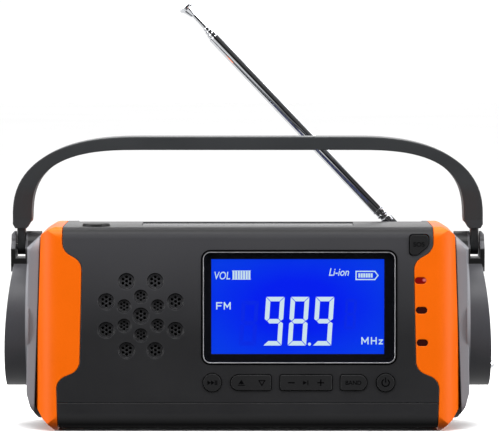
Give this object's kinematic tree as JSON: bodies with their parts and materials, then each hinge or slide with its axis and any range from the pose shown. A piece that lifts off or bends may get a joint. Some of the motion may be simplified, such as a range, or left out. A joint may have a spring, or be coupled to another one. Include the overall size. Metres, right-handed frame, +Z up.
{
  "type": "emergency radio",
  "caption": "Rugged hand-crank emergency radio with backlit display, swinging carry handle, telescopic antenna, speaker, side flashlight and folding crank.",
  "frame": {"origin": "on the standing surface under the middle of the housing", "axes": "+X towards the crank end, -Y out of the front panel, +Z up"},
  "size_m": [0.1767, 0.055, 0.1535],
  "materials": {
    "shell_black": "fine moulded grain",
    "panel_orange": "satin",
    "cap_grey": "satin",
    "handle_black": "soft touch",
    "key_rubber": "matte",
    "light_key": "glossy",
    "flap_rubber": "matte",
    "screen_frame": "satin line",
    "screen_window": "clear",
    "screen_bezel": "gloss black",
    "screen_blue": "backlit",
    "backlight_white": "white",
    "lamp_red": "lit",
    "lamp_dark": "unlit",
    "screw_steel": "zinc plated",
    "chrome": "polished",
    "brass_nut": "turned",
    "switch_black": "moulded",
    "speaker_steel": "coated",
    "speaker_paper": "paper",
    "board_green": "solder mask",
    "chip_black": "moulded",
    "ferrite": "sintered",
    "cell_wrap": "shrink wrap",
    "solar_blue": "silicon",
    "solar_glass": "satin",
    "socket_metal": "plated",
    "jack_black": "moulded",
    "lens_clear": "clear",
    "reflector": "vacuum metallised",
    "led_board": "board",
    "gear_white": "acetal",
    "pinion_brass": "cut",
    "crank_plastic": "satin",
    "generator_steel": "drawn can"
  },
  "bodies": {
    "housing": {"front_shell": "shell_black", "rear_shell": "shell_black", "bottom_cover": "shell_black", "side_panel_right": "panel_orange", "side_panel_left": "panel_orange", "indicator_lens_lit": "lamp_red", "indicator_lenses": "lamp_dark", "end_cap_right": "cap_grey", "end_cap_left": "cap_grey", "case_screws": "screw_steel", "handle_pins": "chrome", "display_frame": "screen_frame", "display_window": "screen_window", "display_bezel": "screen_bezel", "lcd_panel": "screen_blue", "lcd_backlight": "backlight_white", "tact_switches": "switch_black", "speaker_dust_mesh": "switch_black", "speaker_frame": "speaker_steel", "speaker_cone": "speaker_paper", "circuit_boards": "board_green", "board_chips": "chip_black", "ferrite_aerial": "ferrite", "battery_cell": "cell_wrap", "battery_holder": "switch_black", "solar_cells": "solar_blue", "solar_window": "solar_glass", "usb_sockets": "socket_metal", "headphone_jack": "jack_black", "antenna_nut": "brass_nut", "flashlight_lens": "lens_clear", "flashlight_reflector": "reflector", "flashlight_led": "led_board", "gearbox_frame": "screw_steel", "generator": "generator_steel"},
    "handle": {"carry_handle": "handle_black"},
    "swivel": {"antenna_swivel": "chrome"},
    "mast": {"antenna_knuckle": "chrome", "antenna_tube_1": "chrome"},
    "mast_2": {"antenna_tube_2": "chrome"},
    "mast_3": {"antenna_tube_3": "chrome"},
    "mast_4": {"antenna_tube_4": "chrome"},
    "mast_rod": {"antenna_rod": "chrome"},
    "crank": {"crank_rotor": "crank_plastic", "crank_shaft": "screw_steel", "drive_gear": "gear_white"},
    "crank_lever": {"crank_arm": "crank_plastic", "crank_pins": "chrome"},
    "crank_grip": {"crank_knob": "crank_plastic"},
    "gear_a": {"gear_first": "gear_white"},
    "gear_b": {"gear_second": "gear_white"},
    "generator_rotor": {"generator_pinion": "pinion_brass"},
    "key_play": {"button_play": "key_rubber"},
    "key_power": {"button_power": "key_rubber"},
    "key_tuning": {"button_tuning": "key_rubber"},
    "key_volume": {"button_volume": "key_rubber"},
    "key_band": {"button_band": "key_rubber"},
    "key_sos": {"button_sos": "key_rubber"},
    "key_light": {"button_light": "light_key"},
    "flap": {"port_cover": "flap_rubber"}
  },
  "joints": [
    {"name": "handle_swing", "type": "hinge", "parent": "housing", "child": "handle", "pos_m": [0, 0, 0.0652], "axis": [1, 0, 0], "range_deg": [-10, 42]},
    {"name": "antenna_swivel", "type": "hinge", "parent": "housing", "child": "swivel", "pos_m": [0.0551, 0.0215, 0.066], "axis": [0, 0, -1], "range_deg": [0, 180]},
    {"name": "antenna_tilt", "type": "hinge", "parent": "swivel", "child": "mast", "pos_m": [0.0551, 0.0215, 0.0695], "axis": [0, 1, 0], "range_deg": [-46.5, 43.5]},
    {"name": "antenna_section_2", "type": "slide", "parent": "mast", "child": "mast_2", "axis": [-0.6884, 0, 0.7254], "range_m": [0, 0.08]},
    {"name": "antenna_section_3", "type": "slide", "parent": "mast_2", "child": "mast_3", "axis": [-0.6884, 0, 0.7254], "range_m": [0, 0.08]},
    {"name": "antenna_section_4", "type": "slide", "parent": "mast_3", "child": "mast_4", "axis": [-0.6884, 0, 0.7254], "range_m": [0, 0.08]},
    {"name": "antenna_section_5", "type": "slide", "parent": "mast_4", "child": "mast_rod", "axis": [-0.6884, 0, 0.7254], "range_m": [0, 0.08]},
    {"name": "crank_spin", "type": "hinge", "parent": "housing", "child": "crank", "pos_m": [0.08, 0, 0.0375], "axis": [1, 0, 0], "continuous": true},
    {"name": "crank_unfold", "type": "hinge", "parent": "crank", "child": "crank_lever", "pos_m": [0.08465, 0, 0.0505], "axis": [0, -1, 0], "range_deg": [0, 135]},
    {"name": "crank_grip_spin", "type": "hinge", "parent": "crank_lever", "child": "crank_grip", "pos_m": [0.08, 0, 0.0222], "axis": [1, 0, 0], "continuous": true},
    {"name": "gear_first_spin", "type": "hinge", "parent": "housing", "child": "gear_a", "pos_m": [0.063, -0.00887, 0.01847], "axis": [1, 0, 0], "continuous": true},
    {"name": "gear_second_spin", "type": "hinge", "parent": "housing", "child": "gear_b", "pos_m": [0.063, 0.00786, 0.01993], "axis": [1, 0, 0], "continuous": true},
    {"name": "generator_spin", "type": "hinge", "parent": "housing", "child": "generator_rotor", "pos_m": [0.06, 0.01221, 0.03616], "axis": [1, 0, 0], "continuous": true},
    {"name": "play_press", "type": "slide", "parent": "housing", "child": "key_play", "axis": [0, 1, 0], "range_m": [0, 0.0006], "stiffness_N_per_m": 600, "springref_m": -0.001},
    {"name": "power_press", "type": "slide", "parent": "housing", "child": "key_power", "axis": [0, 1, 0], "range_m": [0, 0.0006], "stiffness_N_per_m": 600, "springref_m": -0.001},
    {"name": "band_press", "type": "slide", "parent": "housing", "child": "key_band", "axis": [0, 1, 0], "range_m": [0, 0.0006], "stiffness_N_per_m": 600, "springref_m": -0.001},
    {"name": "sos_press", "type": "slide", "parent": "housing", "child": "key_sos", "axis": [0, 1, 0], "range_m": [0, 0.0006], "stiffness_N_per_m": 600, "springref_m": -0.001},
    {"name": "light_press", "type": "slide", "parent": "housing", "child": "key_light", "axis": [0, 0, -1], "range_m": [0, 0.0006], "stiffness_N_per_m": 600, "springref_m": -0.001},
    {"name": "tuning_rock", "type": "hinge", "parent": "housing", "child": "key_tuning", "pos_m": [0.0011, -0.0238, 0.0176], "axis": [0, 0, 1], "range_deg": [-2.5, 2.5], "stiffness_Nm_per_rad": 0.02},
    {"name": "volume_rock", "type": "hinge", "parent": "housing", "child": "key_volume", "pos_m": [0.0208, -0.0238, 0.0176], "axis": [0, 0, 1], "range_deg": [-2, 2], "stiffness_Nm_per_rad": 0.02},
    {"name": "port_cover_open", "type": "hinge", "parent": "housing", "child": "flap", "pos_m": [-0.034, 0.02635, 0.0332], "axis": [-1, 0, 0], "range_deg": [0, 100]}
  ],
  "couplings": [
    {"joint": "gear_first_spin", "follows": "crank_spin", "ratio": -4},
    {"joint": "gear_second_spin", "follows": "crank_spin", "ratio": 12},
    {"joint": "generator_spin", "follows": "crank_spin", "ratio": -36}
  ]
}
